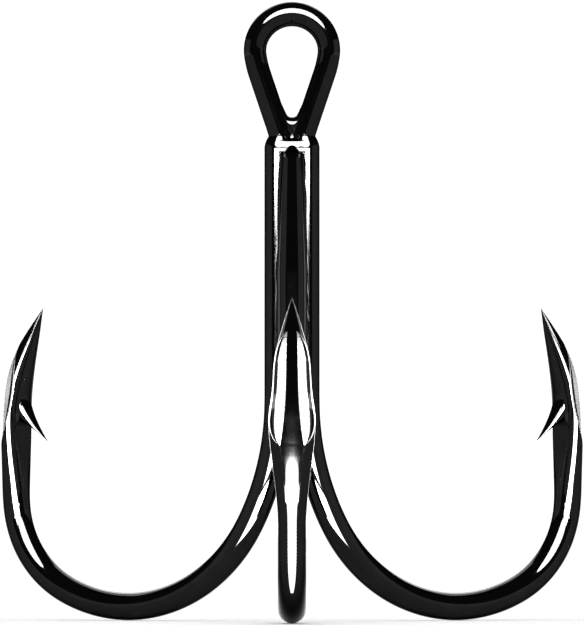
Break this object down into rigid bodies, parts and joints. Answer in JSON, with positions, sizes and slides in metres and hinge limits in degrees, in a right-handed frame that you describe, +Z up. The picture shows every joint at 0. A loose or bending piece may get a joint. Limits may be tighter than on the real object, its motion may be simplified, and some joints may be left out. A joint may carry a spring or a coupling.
{
  "type": "treble fishing hook",
  "caption": "Three-pointed fishing hook on one shank, with a teardrop line eye, flattened barbed points and brazed wires.",
  "frame": {"origin": "centre of the round top of the line eye, on the middle of the eye's wire", "axes": "+Z up the shank towards the eye, -Y towards the third hook (the single wire), +X to the right hook's side; the eye and the two legs of the doubled wire lie in the plane Y = 0"},
  "size_m": [0.0452, 0.0397, 0.0475],
  "materials": {
    "hook_wire": "high-carbon steel wire, glossy black nickel plate",
    "braze": "braze alloy, plated over with the hook in black nickel"
  },
  "bodies": {
    "root": {"double_hook_wire": "hook_wire", "single_hook_wire": "hook_wire", "braze_fillet_left": "braze", "braze_fillet_right": "braze", "braze_fillet_rear": "braze", "braze_core": "braze", "braze_cap": "braze", "braze_throat": "braze"}
  },
  "joints": []
}
